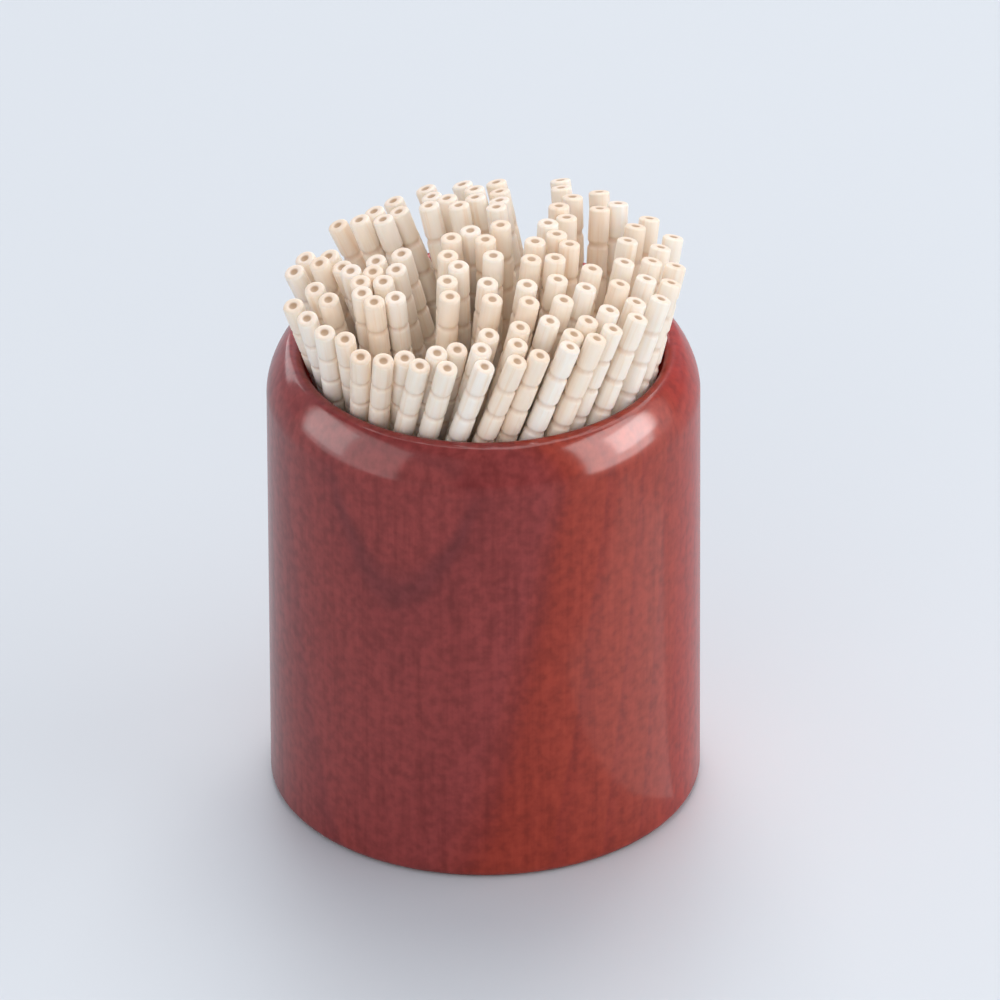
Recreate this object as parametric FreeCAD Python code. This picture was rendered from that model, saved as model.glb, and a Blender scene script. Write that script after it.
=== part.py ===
import FreeCAD, Part
import math
import os
import random

# A small turned wooden cup that holds a sheaf of wooden toothpicks, heads up.
# Everything is in millimetres. The origin is the centre of the cup's flat underside and +Z is up.

# The cup, turned from one block of wood.
CUP_HEIGHT = 51.0
BORE_DIAMETER = 37.5
WALL_THICKNESS = 3.75
FLOOR_THICKNESS = 5.0
SHOULDER_RADIUS = 7.0  # the large round outside, below the lip
LIP_RADIUS = 1.0  # the small round from the lip's crest into the bore
FOOT_RADIUS = 1.0  # the round at the outside of the foot
CORNER_RADIUS = 1.5  # the round where the bore meets its floor

# A toothpick: a straight round stick with one long point and a turned head.
PICK_DIAMETER = 2.2
PICK_LENGTH = 60.0
TAPER_LENGTH = 11.0
TIP_RADIUS = 0.2
GROOVE_COUNT = 3
FIRST_GROOVE = 3.8  # from the head's face to the middle of the first groove
GROOVE_PITCH = 3.6
GROOVE_WIDTH = 0.85
GROOVE_DEPTH = 0.22
HEAD_CHAMFER = 0.25
DIMPLE_DIAMETER = 1.1
DIMPLE_DEPTH = 0.25

# The sheaf. It stands on its tips, twists on the way up and leans out against the lip.
FILL = 0.36  # the sections of all the toothpicks over the section of the bore
SINGLE_PICKS = 40  # the outer toothpicks, which have a file each; the rest are the core
TIP_SPREAD = 13.0  # radius of the circle that the tips stand in
TWIST = math.radians(85.0)  # turn of the sheaf between the tips and the lip
SLUMP = complex(0.8, -3.6)  # how far the sheaf has slid to one side at the lip
UNEVENNESS = 1.0  # how far a toothpick lies off an even pattern
CHANCE = 5  # picks one of many such uneven patterns
CLEARANCE = 0.1  # between any two toothpicks, and between a toothpick and the cup
DRAW = 65.0  # how far a toothpick is drawn out along its own length

# Places where the heads have been parted: two ends and a half width, seen from above.
PARTINGS = (
    (complex(-11.0, -14.0), complex(-3.0, -14.0), 3.4),
    (complex(-6.3, -12.0), complex(-6.0, 3.0), 2.9),
    (complex(-11.5, 2.5), complex(-4.5, 3.0), 4.4),
    (complex(-14.0, -12.0), complex(-14.5, -3.0), 1.8),
    (complex(-1.4, -12.0), complex(-1.8, -2.0), 1.9),
    (complex(2.7, -9.0), complex(4.2, 4.0), 2.0),
    (complex(4.4, 3.0), complex(5.0, 22.0), 3.0),
    (complex(11.5, -3.0), complex(11.5, 5.0), 3.0),
)
PARTING_SHARE = 0.25  # of the way out of such a place, in one step
PARTING_STEPS = 160
SETTLING_STEPS = 240
NEIGHBOUR_STEPS = 20  # how often the list of close pairs is made again
NEIGHBOUR_REACH = 1.6  # how far that list reaches, in spacings
SPARE = 1.01  # the spacing aimed at, over the one needed

BORE_RADIUS = BORE_DIAMETER / 2
OUTSIDE_RADIUS = BORE_RADIUS + WALL_THICKNESS
PICK_RADIUS = PICK_DIAMETER / 2
LIP_ROUND_HEIGHT = CUP_HEIGHT - LIP_RADIUS  # where the bore's straight wall ends
TIP_HEIGHT = FLOOR_THICKNESS + CLEARANCE + TIP_RADIUS  # centre of a standing tip's ball
LIP_RISE = LIP_ROUND_HEIGHT - TIP_HEIGHT
HEAD_RISE = PICK_LENGTH - TIP_RADIUS  # from the tip's ball to the head's face
WAY_OUT = (HEAD_RISE + DRAW) / LIP_RISE  # how high toothpicks are kept apart, in rises to the lip


def vector(x, z):
    """A point of a profile, in the half plane that is turned about the Z axis."""
    return FreeCAD.Vector(x, 0, z)


def line(a, b):
    return Part.LineSegment(vector(*a), vector(*b)).toShape()


def arc(centre, radius, start, end):
    """An arc about a centre between two angles in degrees, which are 0 along +X and 90 along +Z."""
    points = []
    for angle in (start, (start + end) / 2, end):
        turn = math.radians(angle)
        points.append((centre[0] + radius * math.cos(turn), centre[1] + radius * math.sin(turn)))
    return Part.Arc(*[vector(*p) for p in points]).toShape(), points[0], points[-1]


def turned(edges):
    """The solid that a closed profile makes when it is turned about the Z axis."""
    face = Part.Face(Part.Wire(edges))
    return face.revolve(FreeCAD.Vector(0, 0, 0), FreeCAD.Vector(0, 0, 1), 360)


def make_cup():
    """The cup's section: up the outside, over the shoulder and the lip, and down the bore."""
    lip_centre = (BORE_RADIUS + LIP_RADIUS, LIP_ROUND_HEIGHT)
    across = lip_centre[0] - (OUTSIDE_RADIUS - SHOULDER_RADIUS)
    up = math.sqrt((SHOULDER_RADIUS - LIP_RADIUS) ** 2 - across**2)
    shoulder_centre = (OUTSIDE_RADIUS - SHOULDER_RADIUS, lip_centre[1] - up)
    meeting = math.degrees(math.atan2(up, across))

    foot_centre = (OUTSIDE_RADIUS - FOOT_RADIUS, FOOT_RADIUS)
    foot, foot_in, foot_out = arc(foot_centre, FOOT_RADIUS, -90, 0)
    shoulder, side_top, shoulder_top = arc(shoulder_centre, SHOULDER_RADIUS, 0, meeting)
    lip, _, bore_top = arc(lip_centre, LIP_RADIUS, meeting, 180)
    corner_centre = (BORE_RADIUS - CORNER_RADIUS, FLOOR_THICKNESS + CORNER_RADIUS)
    corner, corner_top, corner_end = arc(corner_centre, CORNER_RADIUS, 0, -90)
    return turned(
        [
            line((0, 0), foot_in),
            foot,
            line(foot_out, side_top),
            shoulder,
            lip,
            line(bore_top, corner_top),
            corner,
            line(corner_end, (0, FLOOR_THICKNESS)),
            line((0, FLOOR_THICKNESS), (0, 0)),
        ]
    )


def make_pick():
    """A toothpick on the Z axis, with the ball of its tip about the origin and its head up."""
    slope = 2 * math.degrees(math.atan((PICK_RADIUS - TIP_RADIUS) / TAPER_LENGTH))
    sweep = TIP_RADIUS + TAPER_LENGTH / math.sin(math.radians(slope))
    ball, ball_low, _ = arc((0, 0), TIP_RADIUS, -90, -slope)
    taper, _, taper_end = arc((PICK_RADIUS - sweep, TAPER_LENGTH), sweep, -slope, 0)
    edges = [ball, taper]

    half = GROOVE_WIDTH / 2
    groove_radius = (half**2 + GROOVE_DEPTH**2) / (2 * GROOVE_DEPTH)
    groove_centre = PICK_RADIUS - GROOVE_DEPTH + groove_radius
    opening = math.degrees(math.asin(half / groove_radius))
    below = taper_end
    for number in reversed(range(GROOVE_COUNT)):
        height = HEAD_RISE - FIRST_GROOVE - number * GROOVE_PITCH
        centre = (groove_centre, height)
        groove, low, high = arc(centre, groove_radius, 180 + opening, 180 - opening)
        edges += [line(below, low), groove]
        below = high

    rim = (PICK_RADIUS - HEAD_CHAMFER, HEAD_RISE)
    dimple_half = DIMPLE_DIAMETER / 2
    dimple_radius = (dimple_half**2 + DIMPLE_DEPTH**2) / (2 * DIMPLE_DEPTH)
    dimple_centre = (0, HEAD_RISE - DIMPLE_DEPTH + dimple_radius)
    tilt = math.degrees(math.asin(dimple_half / dimple_radius))
    dimple, edge, deepest = arc(dimple_centre, dimple_radius, -90 + tilt, -90)
    edges += [
        line(below, (PICK_RADIUS, HEAD_RISE - HEAD_CHAMFER)),
        line((PICK_RADIUS, HEAD_RISE - HEAD_CHAMFER), rim),
        line(rim, edge),
        dimple,
        line(deepest, ball_low),
    ]
    return turned(edges)


def dot(a, b):
    return a.real * b.real + a.imag * b.imag


def closest(tip_gap, lip_gap, slope):
    """Where two toothpicks come closest: the level, in rises to the lip, their distance there,
    measured square to them, and the level direction that parts them soonest."""
    change = lip_gap - tip_gap
    stretch = 1 + dot(slope, slope)
    across, along = dot(change, change), dot(slope, change)
    level = 0.0
    if across > 0:
        level = dot(slope, tip_gap) * along / stretch - dot(tip_gap, change)
        level /= across - along**2 / stretch
        level = min(max(level, 0.0), WAY_OUT)
    gap = tip_gap + level * change
    square = gap - slope * dot(slope, gap) / stretch
    return level, math.sqrt(dot(gap, square)), square / abs(square)


def shifted(tip, lip, level, move):
    """The toothpick with its point at a level moved sideways, and the rest as little as can be."""
    share = (1 - level) ** 2 + level**2
    return tip + move * (1 - level) / share, lip + move * level / share


def head_level(tip, lip):
    """The level of a toothpick's head, in rises to the lip."""
    return HEAD_RISE / math.hypot(LIP_RISE, abs(lip - tip))


def part_heads(tips, lips):
    """Moves the heads a little way out of the places where they have been parted."""
    for i, (tip, lip) in enumerate(zip(tips, lips)):
        for start, end, half_width in PARTINGS:
            level = head_level(tip, lip)
            head = tip + level * (lip - tip)
            middle = end - start
            share = min(max(dot(head - start, middle) / dot(middle, middle), 0.0), 1.0)
            away = head - (start + share * middle)
            if 0 < abs(away) < half_width:
                move = away / abs(away) * (half_width - abs(away)) * PARTING_SHARE
                tip, lip = shifted(tip, lip, level, move)
        tips[i], lips[i] = tip, lip


def hold_in_cup(tips, lips):
    """Brings each toothpick back inside the bore, at its floor and at its lip."""
    floor_limit = BORE_RADIUS - CORNER_RADIUS - PICK_RADIUS
    for i, (tip, lip) in enumerate(zip(tips, lips)):
        if abs(tip) > floor_limit:
            tips[i] = tip * floor_limit / abs(tip)
        stretch = math.hypot(1, abs(lip - tip) / LIP_RISE)
        limit = BORE_RADIUS + LIP_RADIUS - (LIP_RADIUS + CLEARANCE + PICK_RADIUS) * stretch
        if abs(lip) > limit:
            lips[i] = lip * limit / abs(lip)


def close_pairs(tips, lips, reach):
    """The pairs that come within a reach of each other, as lists of their two numbers."""
    pairs = []
    for i in range(len(tips)):
        for j in range(i + 1, len(tips)):
            slope = (lips[i] + lips[j] - tips[i] - tips[j]) / 2 / LIP_RISE
            if closest(tips[j] - tips[i], lips[j] - lips[i], slope)[1] < reach:
                pairs.append((i, j))
    return pairs


def push_apart(tips, lips, pairs, spacing):
    """Parts each pair that is closer than the spacing, half of it by each. Returns the least."""
    least = spacing
    for i, j in pairs:
        slope = (lips[i] + lips[j] - tips[i] - tips[j]) / 2 / LIP_RISE
        level, distance, way = closest(tips[j] - tips[i], lips[j] - lips[i], slope)
        if distance < spacing:
            least = min(least, distance)
            move = way * (spacing - distance) / 2
            tips[i], lips[i] = shifted(tips[i], lips[i], level, -move)
            tips[j], lips[j] = shifted(tips[j], lips[j], level, move)
    return least


def lay_sheaf():
    """Where each toothpick crosses the height of the tips and the height of the lip."""
    count = round(FILL * (BORE_DIAMETER / PICK_DIAMETER) ** 2)
    golden = math.pi * (3 - math.sqrt(5))
    lip_spread = BORE_RADIUS - PICK_DIAMETER
    chance = random.Random(CHANCE)
    tips, lips = [], []
    for i in range(count):
        out = math.sqrt((i + 0.5) / count)
        turn = i * golden
        tip = TIP_SPREAD * out * complex(math.cos(turn), math.sin(turn))
        turn += TWIST
        lip = lip_spread * out * complex(math.cos(turn), math.sin(turn)) + SLUMP
        tips.append(tip + UNEVENNESS * complex(chance.uniform(-1, 1), chance.uniform(-1, 1)))
        lips.append(lip + UNEVENNESS * complex(chance.uniform(-1, 1), chance.uniform(-1, 1)))

    spacing = PICK_DIAMETER + CLEARANCE
    for step in range(PARTING_STEPS + SETTLING_STEPS):
        if step % NEIGHBOUR_STEPS == 0:
            pairs = close_pairs(tips, lips, NEIGHBOUR_REACH * spacing)
        if step < PARTING_STEPS:
            part_heads(tips, lips)
        least = push_apart(tips, lips, pairs, SPARE * spacing)
        hold_in_cup(tips, lips)
    print(f"{count} toothpicks, the closest two {least - PICK_DIAMETER:.3f} apart")
    return sorted(zip(tips, lips), key=lambda pick: -abs(pick[1]))


def placed(pick, tip, lip):
    """A toothpick set on its tip, leaning from its place on the floor to its place at the lip."""
    lean = FreeCAD.Vector(lip.real - tip.real, lip.imag - tip.imag, LIP_RISE)
    turn = FreeCAD.Rotation(FreeCAD.Vector(0, 0, 1), lean)
    base = FreeCAD.Vector(tip.real, tip.imag, TIP_HEIGHT)
    copy = pick.copy()
    copy.Placement = FreeCAD.Placement(base, turn)
    return copy


os.makedirs("parts", exist_ok=True)
make_cup().exportStep("parts/cup.step")

model_pick = make_pick()
sheaf = [placed(model_pick, tip, lip) for tip, lip in lay_sheaf()]
for number, pick in enumerate(sheaf[:SINGLE_PICKS], 1):
    pick.exportStep(f"parts/pick_{number:02d}.step")
core = sheaf[SINGLE_PICKS:]
if core:
    Part.makeCompound(core).exportStep("parts/core_picks.step")
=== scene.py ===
# %% [markdown]
# # A turned wooden toothpick cup
#
# The object is a small cup, turned from one block of wood, stained red-brown and dipped in clear
# gloss lacquer. About a hundred grooved birch toothpicks stand in it, heads up, as a loose sheaf
# that twists on the way up and fans out over the lip.
#
# The solid model of every piece is loaded first, as a fixed frame. The looks are then built round
# it: each new piece lies exactly where its solid does, and takes its place in the moving model.

# %% Load the frame
import math
import random

import bmesh
import bpy
import numpy as np
from mathutils import Matrix, Vector


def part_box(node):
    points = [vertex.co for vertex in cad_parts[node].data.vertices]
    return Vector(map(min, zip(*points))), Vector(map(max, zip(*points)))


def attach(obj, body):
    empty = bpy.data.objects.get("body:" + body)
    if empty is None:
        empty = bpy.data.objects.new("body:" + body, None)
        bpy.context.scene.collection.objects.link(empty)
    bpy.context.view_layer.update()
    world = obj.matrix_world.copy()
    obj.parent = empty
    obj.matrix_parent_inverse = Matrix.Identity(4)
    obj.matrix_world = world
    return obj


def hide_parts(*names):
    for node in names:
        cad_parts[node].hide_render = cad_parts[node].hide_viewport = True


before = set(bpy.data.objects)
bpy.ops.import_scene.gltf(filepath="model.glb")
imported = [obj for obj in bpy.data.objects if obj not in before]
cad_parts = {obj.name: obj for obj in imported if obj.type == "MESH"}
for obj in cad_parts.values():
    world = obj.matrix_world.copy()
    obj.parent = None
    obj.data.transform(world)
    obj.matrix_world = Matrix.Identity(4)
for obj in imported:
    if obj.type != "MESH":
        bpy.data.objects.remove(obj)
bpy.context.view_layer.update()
scene = bpy.context.scene

# %% [markdown]
# ## Units, colours and nodes
#
# Blender works in metres, and a cup is easier to think about in millimetres, so one constant turns
# one into the other. A maker names a colour as it looks on a screen, in hex. Shaders need light
# that adds up, which is the linear value, so one function turns the first into the second.

# %% Millimetres and colours
MM = 0.001


def colour(hex_code):
    """An sRGB colour such as "d8c4a4", as the linear red, green, blue and alpha of a shader."""
    channels = []
    for start in (0, 2, 4):
        value = int(hex_code[start : start + 2], 16) / 255
        channels.append(value / 12.92 if value <= 0.04045 else ((value + 0.055) / 1.055) ** 2.4)
    return (*channels, 1.0)


# %% [markdown]
# A material is a small graph of nodes. Adding each node by hand takes four or five lines, so one
# function adds a node, sets what it is told to, and links every input that is given a socket.

# %% One function that adds a node
def add(tree, kind, inputs=(), **settings):
    """Adds a node. inputs maps a socket's name or number to a value or a socket to link from."""
    node = tree.nodes.new(kind)
    for name, value in settings.items():
        setattr(node, name, value)
    for name, value in dict(inputs).items():
        if isinstance(value, bpy.types.NodeSocket):
            tree.links.new(value, node.inputs[name])
        else:
            node.inputs[name].default_value = value
    return node


def new_material(name):
    """An empty material, and its tree of nodes."""
    material = bpy.data.materials.new(name)
    material.use_nodes = True
    material.node_tree.nodes.clear()
    return material, material.node_tree


# %% [markdown]
# The same few kinds of node turn up in every material here. Each of them gets a short function of
# its own that gives back its result, so that a graph can be read as a recipe, one step to a line.

# %% The usual nodes, by what they do
def calculate(tree, operation, first, second=0.0):
    """The result of a sum on one or two numbers."""
    return add(tree, "ShaderNodeMath", {0: first, 1: second}, operation=operation).outputs[0]


def fade(tree, value, start, end, least=0.0, most=1.0, curve="SMOOTHSTEP"):
    """The least where value is at start, the most where it is at end, and a slope between."""
    return add(
        tree,
        "ShaderNodeMapRange",
        {"Value": value, "From Min": start, "From Max": end, "To Min": least, "To Max": most},
        interpolation_type=curve,
    ).outputs[0]


def squeeze(tree, place, factors):
    """A place whose three parts are each multiplied by a factor."""
    return add(
        tree, "ShaderNodeVectorMath", {0: place, 1: factors}, operation="MULTIPLY"
    ).outputs[0]


def from_z_axis(tree, place):
    """The distance of a place from the Z axis."""
    level = squeeze(tree, place, (1, 1, 0))
    return add(tree, "ShaderNodeVectorMath", {0: level}, operation="LENGTH").outputs["Value"]


def noise(tree, place, size, detail, roughness=0.5):
    """Noise whose specks are about this size across."""
    return add(
        tree,
        "ShaderNodeTexNoise",
        {"Vector": place, "Scale": 0.5 / size, "Detail": detail, "Roughness": roughness},
    ).outputs["Fac"]


def ramp(tree, factor, stops):
    """A colour ramp through (place, hex colour) stops."""
    node = add(tree, "ShaderNodeValToRGB", {"Fac": factor})
    elements = node.color_ramp.elements
    while len(elements) < len(stops):
        elements.new(0.5)
    for element, (place, hex_code) in zip(elements, stops):
        element.position = place
        element.color = colour(hex_code)
    return node.outputs["Color"]


def mix(tree, factor, first, second, blend="MIX"):
    """Two colours mixed: only the first where the factor is 0, all of the second where it is 1."""
    return add(
        tree,
        "ShaderNodeMix",
        {0: factor, 6: first, 7: second},
        data_type="RGBA",
        blend_type=blend,
    ).outputs[2]


# %% [markdown]
# ## Turned pieces
#
# Both kinds of piece here are made on a lathe: the cup, and each toothpick. A lathe makes its
# shape from one outline, so the script does too. An outline is a list of corners in the plane
# y = 0. Each has a reach, which is how far from the corner its round starts, and the number of
# segments in that round. The Bevel operator rounds the corners, Subdivide adds rings along the
# straight stretches so that the shading stays even, and Spin turns the outline about the Z axis.
# The points on the axis are spun as well, so they are merged into one pole, and the normals are
# worked out last.

# %% The lathe
ONE_POINT = 0.0005  # mm, within which spun points are merged


def rounded_outline(corners):
    """A bmesh wire, in mm, through (distance from the axis, height, reach, segments) corners."""
    bm = bmesh.new()
    verts = [bm.verts.new((x, 0, z)) for x, z, _, _ in corners]
    for a, b in zip(verts, verts[1:]):
        bm.edges.new((a, b))
    for vert, (_, _, reach, segments) in zip(verts, corners):
        if reach:
            bmesh.ops.bevel(
                bm,
                geom=[vert],
                offset=reach,
                offset_type="OFFSET",
                segments=segments,
                profile=0.5,
                affect="VERTICES",
                material=-1,
                clamp_overlap=False,
            )
    return bm


def spin_outline(bm, steps, longest):
    """Divides the stretches of an outline that are longer than this, and spins it about Z."""
    for edge in list(bm.edges):
        cuts = int(edge.calc_length() / longest)
        if cuts:
            bmesh.ops.subdivide_edges(bm, edges=[edge], cuts=cuts)
    bmesh.ops.spin(
        bm,
        geom=bm.verts[:] + bm.edges[:],
        cent=(0, 0, 0),
        axis=(0, 0, 1),
        angle=math.tau,
        steps=steps,
        use_merge=True,
    )
    bmesh.ops.remove_doubles(bm, verts=bm.verts, dist=ONE_POINT)
    bmesh.ops.recalc_face_normals(bm, faces=bm.faces)


# %% [markdown]
# A finished mesh becomes a piece: an object at the origin, unturned and unscaled, with its place
# in its mesh. It rides on the body that carries it, stands for its solid node and takes its finish
# from its one material.

# %% Make a piece
def make_piece(name, mesh, material, body, node):
    """A smooth object with one material, which rides on a body and stands for a solid node."""
    for polygon in mesh.polygons:
        polygon.use_smooth = True
    mesh.materials.append(material)
    piece = bpy.data.objects.new(name, mesh)
    scene.collection.objects.link(piece)
    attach(piece, body)
    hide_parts(node)
    return piece


# %% [markdown]
# ## The cup's wood
#
# The blank is a close, even hardwood such as birch or alder, sawn from a plank, stained red-brown
# and then dipped in clear gloss lacquer. The stain sinks in unevenly, so the growth rings show as
# darker figure. The tree's rings are cylinders, so the pattern is rings about an axis that lies
# behind the cup and leans a little. Where they run flat to the front they make a U by themselves,
# as on real wood, and where they meet the side they make fine lines that slant a little. The
# figure runs through the lip and down the bore with no seam.
#
# The distance from the tree's axis is all that the rings need. One value feeds the faint line that
# ends each year's growth, the broad dark ring of one dry year, and the change from purple-brown
# wood, further out, to orange-red wood and then to the clear red wood nearest the heart. That deep
# red falls on the right side and back of the cup, and is partly painted shade: it deepens the right
# side, where the lacquer mirrors little light. The dark ring fades below the shoulder, which was
# sanded most and so took less stain along it. The left side of the cup was the plank's face, and
# there the stain took purple-brown all the way.

# %% Distance from the tree's axis
RING_AXIS = (18.0, 37.5)  # mm, where the tree's axis crosses z = 0
RING_LEAN = 0.085  # mm back for each mm up
RING_SPACING = 3.33  # mm between growth rings
RING_WANDER = 0.5  # mm, how far a ring strays from a true cylinder
RING_WANDER_SIZE = 14.0  # mm, over which it strays


def place_in_mm(tree):
    """A point's place in mm, from the piece's own metres."""
    place = add(tree, "ShaderNodeTexCoord").outputs["Object"]
    return add(tree, "ShaderNodeVectorMath", {0: place, 3: 1 / MM}, operation="SCALE").outputs[0]


def ring_distance(tree, in_mm):
    """The distance from the tree's axis in mm, which strays a little as a real ring does."""
    wander = add(
        tree,
        "ShaderNodeTexNoise",
        {"Vector": in_mm, "Scale": 1 / RING_WANDER_SIZE, "Detail": 1.0},
    ).outputs["Color"]
    strayed = add(
        tree,
        "ShaderNodeVectorMath",
        {0: wander, 1: (RING_WANDER, RING_WANDER, 0), 2: in_mm},
        operation="MULTIPLY_ADD",
    ).outputs[0]
    about_axis = add(
        tree,
        "ShaderNodeMapping",
        {
            "Vector": strayed,
            "Location": (-RING_AXIS[0], -RING_AXIS[1], 0),
            "Rotation": (math.atan(RING_LEAN), 0, 0),
        },
    ).outputs[0]
    return from_z_axis(tree, about_axis)


# %% [markdown]
# The vessels of the wood show as fine upright streaks. They are noise whose height is squeezed, so
# that it comes out drawn long. The lacquer is a second, clear skin on the wood, so it is the
# shader's coat. There is hardly any reflection where the lacquer meets the wood, since the two
# bend light about as much, so the wood's own specular level is low.

# %% The cup's wood and lacquer
ORANGE_RED_YEAR = [(0.0, "a23b29"), (0.6, "a03a29"), (0.92, "973528"), (1.0, "a23b29")]
PURPLE_BROWN_YEAR = [(0.0, "933c39"), (0.6, "913b38"), (0.92, "883635"), (1.0, "933c39")]
COLOUR_EDGE = (62.2, 63.8)  # mm from the tree's axis, over which orange-red turns purple-brown
PLANK_FACE = (-9.0, -16.0)  # mm to the right of the cup's axis, over which its zone sets in
# Deep red nearest the heart. It also serves as painted shade on the cup's right side, where the
# lacquer mirrors little light.
HEARTWOOD_AND_SHADE = "a32a1a"
HEART_AND_SHADE_EDGE = (54.0, 46.0)  # mm from the tree's axis, over which the heart's red sets in
DRY_YEAR = 66.3  # mm from the tree's axis, where the stain took darkest
DRY_YEAR_COLOUR = "5c2a2e"
DRY_YEAR_STRENGTH = 0.36
DRY_YEAR_REACH = 0.3  # mm to each side
DRY_YEAR_FADES = (47.5, 41.0)  # mm up, over which its ring sets in
STREAK_WIDTH = 0.4  # mm across a vessel streak; real ones are a tenth of this, too fine to show
STREAK_STRETCH = 0.04  # its width over its length
STREAK_TONES = [(0.3, "e9e0e0"), (0.5, "f8f4f4"), (0.7, "ffffff")]
MOTTLE_SIZE = 0.5  # mm across the specks that the stain leaves
MOTTLE_TONES = [(0.3, "dcd3d3"), (0.65, "ffffff")]
LACQUER_WAVE = 3.0  # mm across one soft wave of the dried lacquer
LACQUER_WAVE_HEIGHT = 0.05  # mm


def lacquered_wood():
    material, tree = new_material("stained hardwood, dipped in clear gloss lacquer")
    in_mm = place_in_mm(tree)
    across, _, up = add(tree, "ShaderNodeSeparateXYZ", {0: in_mm}).outputs
    distance = ring_distance(tree, in_mm)
    year = calculate(tree, "FRACT", calculate(tree, "MULTIPLY", distance, 1 / RING_SPACING))

    outer = fade(tree, distance, *COLOUR_EDGE)
    outer = calculate(tree, "MAXIMUM", outer, fade(tree, across, *PLANK_FACE))
    wood = mix(tree, outer, ramp(tree, year, ORANGE_RED_YEAR), ramp(tree, year, PURPLE_BROWN_YEAR))
    # The deep red nearest the heart: wood colour, and painted shade on the right side.
    wood = mix(tree, fade(tree, distance, *HEART_AND_SHADE_EDGE), wood, colour(HEARTWOOD_AND_SHADE))
    off_ring = calculate(tree, "ABSOLUTE", calculate(tree, "SUBTRACT", distance, DRY_YEAR))
    dry = fade(tree, off_ring, DRY_YEAR_REACH, 0.0, most=DRY_YEAR_STRENGTH)
    dry = calculate(tree, "MULTIPLY", dry, fade(tree, up, *DRY_YEAR_FADES))
    wood = mix(tree, dry, wood, colour(DRY_YEAR_COLOUR))

    drawn_out = squeeze(tree, in_mm, (1, 1, STREAK_STRETCH))
    streaks = noise(tree, drawn_out, STREAK_WIDTH, detail=3.0, roughness=0.6)
    mottle = noise(tree, in_mm, MOTTLE_SIZE, detail=2.0)
    wood = mix(tree, 1.0, wood, ramp(tree, streaks, STREAK_TONES), "MULTIPLY")
    wood = mix(tree, 1.0, wood, ramp(tree, mottle, MOTTLE_TONES), "MULTIPLY")

    wave = noise(tree, in_mm, LACQUER_WAVE, detail=1.0)
    bump = add(
        tree,
        "ShaderNodeBump",
        {"Height": wave, "Strength": 0.3, "Distance": LACQUER_WAVE_HEIGHT * MM},
    ).outputs[0]
    shader = add(
        tree,
        "ShaderNodeBsdfPrincipled",
        {
            "Base Color": wood,
            "Roughness": 0.45,
            "IOR": 1.5,
            "Specular IOR Level": 0.05,
            "Coat Weight": 0.5,
            "Coat Roughness": 0.14,
            "Coat IOR": 1.5,
            "Coat Normal": bump,
        },
    )
    add(tree, "ShaderNodeOutputMaterial", {0: shader.outputs[0]})
    return material


# %% [markdown]
# ## The cup
#
# The cup is one turned shape. Its outline goes from the middle of the flat underside, round the
# foot, up the straight side, over a large round shoulder to a narrow lip, and down the bore to its
# floor. Every corner of the outline is a pair of straight lines that a round joins, so the rounds
# can all be made by one bevel. The shoulder turns the outline by about 45 degrees at a large
# radius, and the lip turns it the rest of the way at a small one.

# %% Turn the cup
cup_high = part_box("cup")[1]
OUTSIDE = cup_high.x / MM  # from the axis; this and all below in mm
HEIGHT = cup_high.z / MM
WALL = 3.75
FLOOR = 5.0
SHOULDER_ROUND = 7.0
LIP_ROUND = 1.0
FOOT_ROUND = 1.0
CORNER_ROUND = 1.5
CUP_STEPS = 160  # round the axis
CUP_STRETCH = 6.0  # past which a straight stretch of the cup's outline is divided
bore = OUTSIDE - WALL


def reach(radius, degrees):
    """How far from its corner a round of this radius starts, where the outline turns by degrees."""
    return radius * math.tan(math.radians(degrees) / 2)


def turn_cup():
    """The cup's mesh, in metres."""
    lip_middle = (bore + LIP_ROUND, HEIGHT - LIP_ROUND)
    across = lip_middle[0] - (OUTSIDE - SHOULDER_ROUND)
    up = math.sqrt((SHOULDER_ROUND - LIP_ROUND) ** 2 - across**2)
    turn = math.degrees(math.atan2(up, across))  # of the outline, over the shoulder
    shoulder_top = lip_middle[1] - up + reach(SHOULDER_ROUND, turn)
    lip_corner = lip_middle[0] + reach(LIP_ROUND, 90 - turn)
    corners = [
        (0, 0, 0, 0),
        (OUTSIDE, 0, reach(FOOT_ROUND, 90), 8),
        (OUTSIDE, shoulder_top, reach(SHOULDER_ROUND, turn), 24),
        (lip_corner, HEIGHT, reach(LIP_ROUND, 90 - turn), 6),
        (bore, HEIGHT, reach(LIP_ROUND, 90), 10),
        (bore, FLOOR, reach(CORNER_ROUND, 90), 8),
        (0, FLOOR, 0, 0),
    ]
    bm = rounded_outline(corners)
    spin_outline(bm, CUP_STEPS, CUP_STRETCH)
    bmesh.ops.scale(bm, vec=(MM, MM, MM), verts=bm.verts)
    mesh = bpy.data.meshes.new("cup_of_wood")
    bm.to_mesh(mesh)
    bm.free()
    return mesh


cup = make_piece("turned_cup", turn_cup(), lacquered_wood(), "cup", "cup")
print("cup:", len(cup.data.polygons), "faces,", [round(d / MM, 2) for d in cup.dimensions], "mm")

# %% [markdown]
# ## The toothpicks' wood
#
# The toothpicks are plain white birch: split from a log, rounded, pointed and tumbled, with no
# finish on them. The wood is matt and nearly white, and warms where light passes between the
# sticks. Fine fibres run along each stick, whichever way it leans. So the pattern can't read the
# object's own axes. Each stick's mesh carries the place of every point in the stick's own
# millimetres, along with a chance value, and the pattern reads those.

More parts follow.
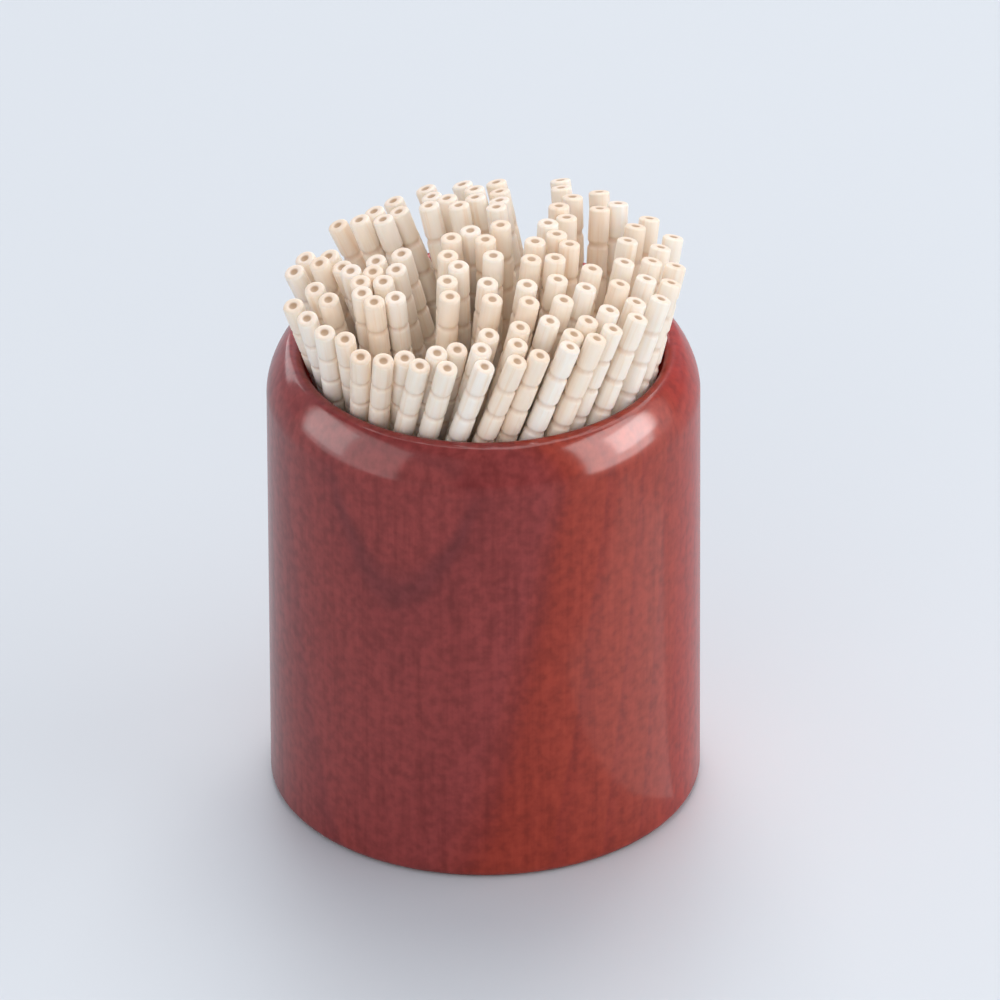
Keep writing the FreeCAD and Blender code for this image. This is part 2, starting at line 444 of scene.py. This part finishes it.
# %% The toothpicks' birch
STICK_RADIUS = 1.1  # mm, as all lengths here
STICK_LENGTH = 60.0
DIMPLE_RADIUS = 0.55
GROOVE_DEPTH = 0.22
HEAD_ZONE = 1.0  # below the head's top, where the dimple is and the painted shade of the grooves is not
LOG_LENGTH = 900.0  # over which the sticks' pieces of the wood are spread
FIBRE_WIDTH = 0.28  # real fibres are a tenth of this, too fine to show
FIBRE_STRETCH = 0.03  # its width over its length
FIBRE_HEIGHT = 0.06
STICK_TONES = [(0.0, "fae9d6"), (0.5, "fcf0e1"), (1.0, "fef6ec")]
FIBRE_TONES = [(0.28, "f7eadc"), (0.46, "fefaf6"), (0.7, "ffffff")]
# Painted shade: the grooves are darkened where shade would fall in them.
GROOVE_SHADE = "c9a27c"
GROOVE_SHADE_STRENGTH = 0.4
GROOVE_SHADE_STARTS = 0.02  # deep
# The heads' tops are darker: partly end grain, and partly painted shade, since the tops face the
# key box.
END_GRAIN_AND_SHADE = "c9a888"
END_GRAIN_AND_SHADE_STRENGTH = 0.4
END_GRAIN_AND_SHADE_REACH = 0.15  # below the head's top
RUBBED = "ab845c"
RUBBED_STRENGTH = 0.9
RUBBED_EDGE = (1.05, 0.55)  # of the dimple's radius, over which the brown sets in
SPREAD = 0.8  # how far light spreads inside the wood


def birch():
    material, tree = new_material("tumbled white birch, unfinished")
    stick = add(tree, "ShaderNodeAttribute", attribute_name="stick").outputs["Vector"]
    chance = add(tree, "ShaderNodeAttribute", attribute_name="chance").outputs["Fac"]
    off_axis = from_z_axis(tree, stick)
    height = add(tree, "ShaderNodeSeparateXYZ", {0: stick}).outputs["Z"]

    # A different stretch of the same endless wood for each stick.
    apart = calculate(tree, "MULTIPLY", chance, LOG_LENGTH)
    in_log = add(tree, "ShaderNodeVectorMath", {0: stick, 1: apart}, operation="ADD").outputs[0]
    drawn_out = squeeze(tree, in_log, (1, 1, FIBRE_STRETCH))
    fibres = noise(tree, drawn_out, FIBRE_WIDTH, detail=4.0, roughness=0.65)
    wood = ramp(tree, chance, STICK_TONES)
    wood = mix(tree, 1.0, wood, ramp(tree, fibres, FIBRE_TONES), "MULTIPLY")

    # The grooves are darkened with painted shade. The head's top is darker, partly because end
    # grain is darker than side grain and partly as painted shade on tops that face the key box, and
    # the cutter rubs the middle of the head brown.
    at_head = calculate(tree, "GREATER_THAN", height, STICK_LENGTH - HEAD_ZONE)
    below_head = calculate(tree, "SUBTRACT", 1.0, at_head)
    groove = (STICK_RADIUS - GROOVE_SHADE_STARTS, STICK_RADIUS - GROOVE_DEPTH)
    # Painted shade inside each groove, deepest at its bottom.
    groove_shade = fade(tree, off_axis, *groove, most=GROOVE_SHADE_STRENGTH, curve="LINEAR")
    groove_shade = calculate(tree, "MULTIPLY", groove_shade, below_head)
    wood = mix(tree, groove_shade, wood, colour(GROOVE_SHADE))
    # Darker head tops: end grain, and painted shade on the tops that catch the key box's light.
    top = (STICK_LENGTH - END_GRAIN_AND_SHADE_REACH, STICK_LENGTH)
    end_grain_and_shade = fade(tree, height, *top, most=END_GRAIN_AND_SHADE_STRENGTH, curve="LINEAR")
    wood = mix(tree, end_grain_and_shade, wood, colour(END_GRAIN_AND_SHADE))
    rubbed_from, rubbed_to = (DIMPLE_RADIUS * share for share in RUBBED_EDGE)
    rubbed = fade(tree, off_axis, rubbed_from, rubbed_to, most=RUBBED_STRENGTH)
    rubbed = calculate(tree, "MULTIPLY", rubbed, at_head)
    wood = mix(tree, rubbed, wood, colour(RUBBED))

    bump = add(
        tree,
        "ShaderNodeBump",
        {"Height": fibres, "Strength": 0.5, "Distance": FIBRE_HEIGHT * MM},
    ).outputs[0]
    shader = add(
        tree,
        "ShaderNodeBsdfPrincipled",
        {
            "Base Color": wood,
            "Roughness": 0.5,
            "IOR": 1.5,
            "Subsurface Weight": 0.25,
            "Subsurface Radius": (1.0, 0.75, 0.5),
            "Subsurface Scale": SPREAD * MM,
            "Normal": bump,
        },
    )
    add(tree, "ShaderNodeOutputMaterial", {0: shader.outputs[0]})
    return material


# %% [markdown]
# ## One toothpick
#
# A toothpick is turned as well. From its tip, a long taper swells to the full thickness, a
# straight shaft follows, and three round grooves and a dimpled flat head finish it. The taper is a
# smooth curve, so its corners come from a formula. Each groove is one corner pushed into the
# shaft and rounded, and the head's rim is one rounded corner. The sheaf repeats this mesh about a
# hundred times, so it has no more faces than a close view needs.

# %% Turn one toothpick
TIP_RADIUS = 0.2  # mm, as all lengths here
TIP_REACH = 0.1
TAPER_LENGTH = 11.0
TAPER_CORNERS = 6
GROOVES = 3
FIRST_GROOVE = 3.8  # below the head's top
GROOVE_PITCH = 3.6
GROOVE_WIDTH = 0.85
GROOVE_RIM_REACH = 0.1
GROOVE_BOTTOM_REACH = 0.25
HEAD_ROUND = 0.28
DIMPLE_DEPTH = 0.25
DIMPLE_RIM_REACH = 0.12
STICK_STEPS = 24  # round the axis
STICK_STRETCH = 14.0  # past which a straight stretch of the outline is divided


def turn_toothpick():
    """A bmesh in mm, with the end of its tip at the origin and its head up."""
    corners = [(0, 0, 0, 0), (TIP_RADIUS, TIP_RADIUS * 0.4, TIP_REACH, 2)]
    for number in range(1, TAPER_CORNERS):
        along = number / TAPER_CORNERS
        swell = 1 - (1 - along) ** 2
        radius = TIP_RADIUS + (STICK_RADIUS - TIP_RADIUS) * swell
        corners.append((radius, TIP_RADIUS + TAPER_LENGTH * along, 0, 0))
    corners.append((STICK_RADIUS, TIP_RADIUS + TAPER_LENGTH, 0, 0))
    half = GROOVE_WIDTH / 2
    for number in reversed(range(GROOVES)):
        middle = STICK_LENGTH - FIRST_GROOVE - number * GROOVE_PITCH
        corners += [
            (STICK_RADIUS, middle - half, GROOVE_RIM_REACH, 2),
            (STICK_RADIUS - GROOVE_DEPTH, middle, GROOVE_BOTTOM_REACH, 4),
            (STICK_RADIUS, middle + half, GROOVE_RIM_REACH, 2),
        ]
    corners += [
        (STICK_RADIUS, STICK_LENGTH, HEAD_ROUND, 4),
        (DIMPLE_RADIUS, STICK_LENGTH, DIMPLE_RIM_REACH, 3),
        (0, STICK_LENGTH - DIMPLE_DEPTH, 0, 0),
    ]
    bm = rounded_outline(corners)
    spin_outline(bm, STICK_STEPS, STICK_STRETCH)
    return bm


toothpick = turn_toothpick()
print("toothpick:", len(toothpick.faces), "faces")

# %% [markdown]
# ## The sheaf
#
# The solid model says where each toothpick stands. A solid toothpick's mesh is the same all round
# its own axis, so the middle of its points lies on that axis, and they spread furthest along it.
# That gives the axis, the tip and the head, with no table of places. The toothpicks in the middle
# of the sheaf share one node, so its mesh is first parted into its separate sticks. They are put
# in order of place, so that every run deals the same chances to the same stick.

# %% Find where the toothpicks stand
SAME_POINT = 0.001  # mm, within which points of a solid's mesh are one


def separate_points(mesh):
    """The points of each loose part of a mesh, as arrays."""
    bm = bmesh.new()
    bm.from_mesh(mesh)
    bmesh.ops.remove_doubles(bm, verts=bm.verts, dist=SAME_POINT * MM)
    reached = set()
    parts = []
    for first in bm.verts:
        if first in reached:
            continue
        reached.add(first)
        found = [first]
        part = []
        while found:
            vert = found.pop()
            part.append(vert.co[:])
            for edge in vert.link_edges:
                other = edge.other_vert(vert)
                if other not in reached:
                    reached.add(other)
                    found.append(other)
        parts.append(np.array(part))
    bm.free()
    return parts


def stand(points):
    """The turn and place that bring a stick from the origin to where these points are."""
    middle = points.mean(0)
    away = points - middle
    along = np.linalg.eigh(away.T @ away)[1][:, -1]
    along *= np.sign(along[2])
    tip = middle + along * (away @ along).min()
    turn = Vector((0, 0, 1)).rotation_difference(Vector(along))
    return Matrix.Translation(Vector(tip)) @ turn.to_matrix().to_4x4()


# %% [markdown]
# Each toothpick is a copy of the one that was turned, given a chance turn about its own axis and
# a chance tone. It is a little out of round, as a tumbled stick is, by a few hundredths of a
# millimetre. The two attributes are written before the copy leaves the origin.

# %% Stand a toothpick in the cup
OUT_OF_ROUND = 0.012  # of the stick's thickness
CHANCE_SEED = 11
chances = random.Random(CHANCE_SEED)


def add_stick(bm, place):
    """Adds one toothpick to a bmesh in metres that has the two attributes."""
    stick_layer = bm.verts.layers.float_vector["stick"]
    chance_layer = bm.verts.layers.float["chance"]
    tone = chances.random()
    spun = Matrix.Rotation(chances.uniform(0, math.tau), 4, "Z")
    squashed = Matrix.Diagonal((1 - chances.uniform(0, OUT_OF_ROUND), 1, 1, 1))
    whole = place @ Matrix.Scale(MM, 4) @ spun @ squashed
    copies = {}
    for vert in toothpick.verts:
        copy = bm.verts.new(whole @ vert.co)
        copy[stick_layer] = vert.co
        copy[chance_layer] = tone
        copies[vert] = copy
    for face in toothpick.faces:
        bm.faces.new([copies[vert] for vert in face.verts])


def sheaf_mesh(name, places):
    """One mesh that holds a toothpick at each place."""
    bm = bmesh.new()
    bm.verts.layers.float_vector.new("stick")
    bm.verts.layers.float.new("chance")
    for place in places:
        add_stick(bm, place)
    mesh = bpy.data.meshes.new(name)
    bm.to_mesh(mesh)
    bm.free()
    return mesh


# %% Stand them all
plain_birch = birch()
stood = 0
for node in sorted(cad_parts):
    if node == "cup":
        continue
    body = "cup" if node == "core_picks" else node
    places = [stand(points) for points in separate_points(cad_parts[node].data)]
    places.sort(key=lambda place: tuple(place.translation))
    mesh = sheaf_mesh(f"birch_{node}", places)
    make_piece(f"birch_{node}", mesh, plain_birch, body, node)
    stood += len(places)
toothpick.free()
print("sheaf:", stood, "toothpicks")

# %% [markdown]
# ## The floor and the air
#
# The cup stands on a pale, faintly glossy sheet. It is large enough to fill every view from above
# the horizon. The air round it gives a dim, faintly blue light, and a ray that goes straight from
# the camera to it sees it pale. The lacquer mirrors a studio that is pale behind the cup and dark
# in front of it. So a ray that has been mirrored gets a brightness that depends on where it goes.

# %% Floor and air
FLOOR_SIZE = 12.0  # metres
FLOOR_COLOUR = "cbced0"
AIR_COLOUR = "e9f1ff"
AIR_BRIGHTNESS = 0.65
BACKDROP_COLOUR = "dfe3e8"
STUDIO_COLOUR = "e9e9fa"
STUDIO_BRIGHTNESS = (0.15, 1.0)  # in front of the cup and behind it
STUDIO_EDGE = (0.2, 0.9)  # how squarely a ray goes to the back, where the one turns to the other


def pale_sheet():
    material, tree = new_material("pale grey laminate sheet")
    shader = add(
        tree,
        "ShaderNodeBsdfPrincipled",
        {"Base Color": colour(FLOOR_COLOUR), "Roughness": 0.35, "Specular IOR Level": 0.3},
    )
    add(tree, "ShaderNodeOutputMaterial", {0: shader.outputs[0]})
    return material


def lay_floor():
    bm = bmesh.new()
    bmesh.ops.create_grid(bm, x_segments=1, y_segments=1, size=FLOOR_SIZE / 2)
    mesh = bpy.data.meshes.new("floor")
    bm.to_mesh(mesh)
    bm.free()
    floor = bpy.data.objects.new("floor", mesh)
    floor.data.materials.append(pale_sheet())
    scene.collection.objects.link(floor)


def fill_air():
    world = bpy.data.worlds.new("studio air")
    world.use_nodes = True
    tree = world.node_tree
    tree.nodes.clear()
    path = add(tree, "ShaderNodeLightPath")
    seen = calculate(
        tree, "MAXIMUM", path.outputs["Is Camera Ray"], path.outputs["Is Transmission Ray"]
    )
    way = add(tree, "ShaderNodeTexCoord").outputs["Generated"]
    back = add(tree, "ShaderNodeSeparateXYZ", {0: way}).outputs["Y"]
    studio = fade(tree, back, *STUDIO_EDGE, *STUDIO_BRIGHTNESS)
    air = add(
        tree, "ShaderNodeBackground", {"Color": colour(AIR_COLOUR), "Strength": AIR_BRIGHTNESS}
    )
    mirrored = add(
        tree, "ShaderNodeBackground", {"Color": colour(STUDIO_COLOUR), "Strength": studio}
    )
    backdrop = add(
        tree, "ShaderNodeBackground", {"Color": colour(BACKDROP_COLOUR), "Strength": 1.0}
    )
    glossy = path.outputs["Is Glossy Ray"]
    lit = add(tree, "ShaderNodeMixShader", {0: glossy, 1: air.outputs[0], 2: mirrored.outputs[0]})
    mixed = add(tree, "ShaderNodeMixShader", {0: seen, 1: lit.outputs[0], 2: backdrop.outputs[0]})
    add(tree, "ShaderNodeOutputWorld", {0: mixed.outputs[0]})
    scene.world = world


lay_floor()
fill_air()

# %% [markdown]
# ## The light
#
# Soft boxes light the cup. The key box hangs above and a little behind, and is what makes the
# heads bright and the soft shadow fall towards the viewer. A strong box stands to the right and a
# weaker one to the left. The front stays dark, so the lacquer shows a bright patch on each side of
# the shoulder and deep colour between them. A box's brightness is what the lacquer mirrors, so
# each is given as brightness, where 1 is white, and its power in watts follows from its size.
#
# A dim box near the camera lightens the shade between the toothpicks. The lacquer doesn't mirror
# it.
#
# A soft box is brightest in its middle. The middles are boxes of their own, and so are the pale
# ceiling, the pale wall on the left and the glare that the right box makes on the sheet. They are
# only mirrored, and only by the cup, so the patches on the lacquer can be set without changing how
# the wood itself and the floor are lit. Light linking does that: such a box shines on nothing but
# what its collection holds.

# %% Soft boxes
LOOKED_AT = Vector((0, 0, 32 * MM))
SOFT_BOXES = (
    # name, degrees to the right of the camera, degrees up, metres away, size in metres,
    # brightness, and whether the box lights, is mirrored or both
    ("key box", 175, 61, 0.85, (0.5, 0.6), 4.9, "both"),
    ("ceiling", 140, 74, 0.84, (1.1, 1.1), 4.4, "mirrored"),
    ("front box", -6, 24, 0.9, (0.9, 0.6), 1.1, "lights"),
    ("right box", 81, 10, 0.36, (0.42, 0.46), 1.4, "both"),
    ("ring in the right box", 73, 16, 0.355, (0.28, 0.34), 8.5, "mirrored"),
    ("middle of the right box", 84, 17, 0.35, (0.18, 0.15), 11.0, "mirrored"),
    ("left box", -44, 14, 0.42, (0.5, 0.42), 0.4, "both"),
    ("ring in the left box", -74, 12, 0.355, (0.42, 0.36), 2.9, "mirrored"),
    ("middle of the left box", -88, 16, 0.35, (0.18, 0.2), 4.4, "mirrored"),
    ("pale wall on the left", -142, 18, 0.6, (0.28, 0.3), 3.4, "mirrored"),
)
GLARE_PLACE = Vector((58 * MM, -20 * MM, 0.5 * MM))  # on the sheet, to the right of the cup
GLARE_SIZE = (44 * MM, 60 * MM)
GLARE_TURN = -71.0  # degrees
GLARE_BRIGHTNESS = 0.6
only_cup = bpy.data.collections.new("mirrors the boxes")
only_cup.objects.link(cup)


def soft_box(name, size, brightness, use):
    """A soft box that lights, is mirrored by the cup, or both. It faces down until it is turned."""
    lamp = bpy.data.lights.new(name, "AREA")
    lamp.shape = "RECTANGLE"
    lamp.size = size[0]
    lamp.size_y = size[1]
    lamp.energy = brightness * math.pi * size[0] * size[1]
    box = bpy.data.objects.new(name, lamp)
    box.visible_camera = False
    box.visible_diffuse = use != "mirrored"
    box.visible_glossy = use != "lights"
    if use == "mirrored":
        box.light_linking.receiver_collection = only_cup
    scene.collection.objects.link(box)
    return box


for name, right, up, away, size, brightness, use in SOFT_BOXES:
    box = soft_box(name, size, brightness, use)
    round_cup, rise = math.radians(right), math.radians(up)
    level = away * math.cos(rise)
    place = Vector(
        (level * math.sin(round_cup), -level * math.cos(round_cup), away * math.sin(rise))
    )
    box.location = LOOKED_AT + place
    box.rotation_euler = (-place).to_track_quat("-Z", "Y").to_euler()

glare = soft_box("glare on the sheet", GLARE_SIZE, GLARE_BRIGHTNESS, "mirrored")
glare.location = GLARE_PLACE
glare.rotation_euler = (math.pi, 0, math.radians(GLARE_TURN))

# %% [markdown]
# ## The camera
#
# A small object that is seen from far off through a long lens shows almost no perspective: its
# foot and its lip are ellipses of the same shape. So the camera stands two metres away, looks down
# at 31 degrees, and its lens is long enough that the frame is 104 mm wide at the cup.

# %% Camera
ELEVATION = 31.0  # degrees
DISTANCE = 2.0  # metres
SENSOR_WIDTH = 36.0  # mm
FAR_ENOUGH = 50.0  # metres, past which nothing is drawn
FRAME_WIDTH = 104.03  # mm across the frame, at the cup
FRAME_CENTRE = (1.66, 32.4)  # mm, where the view's middle meets the plane x, z through the axis
ROLL = 0.28  # degrees

camera = bpy.data.objects.new("camera", bpy.data.cameras.new("camera"))
camera.data.sensor_width = SENSOR_WIDTH
camera.data.lens = camera.data.sensor_width * DISTANCE / (FRAME_WIDTH * MM)
camera.data.clip_end = FAR_ENOUGH
tilt = math.radians(ELEVATION)
middle = Vector((FRAME_CENTRE[0] * MM, 0, FRAME_CENTRE[1] * MM))
camera.location = middle + DISTANCE * Vector((0, -math.cos(tilt), math.sin(tilt)))
looking = (middle - camera.location).to_track_quat("-Z", "Y").to_matrix()
camera.rotation_euler = (looking @ Matrix.Rotation(math.radians(-ROLL), 3, "Z")).to_euler()
scene.collection.objects.link(camera)
scene.camera = camera
scene.view_settings.view_transform = "Standard"
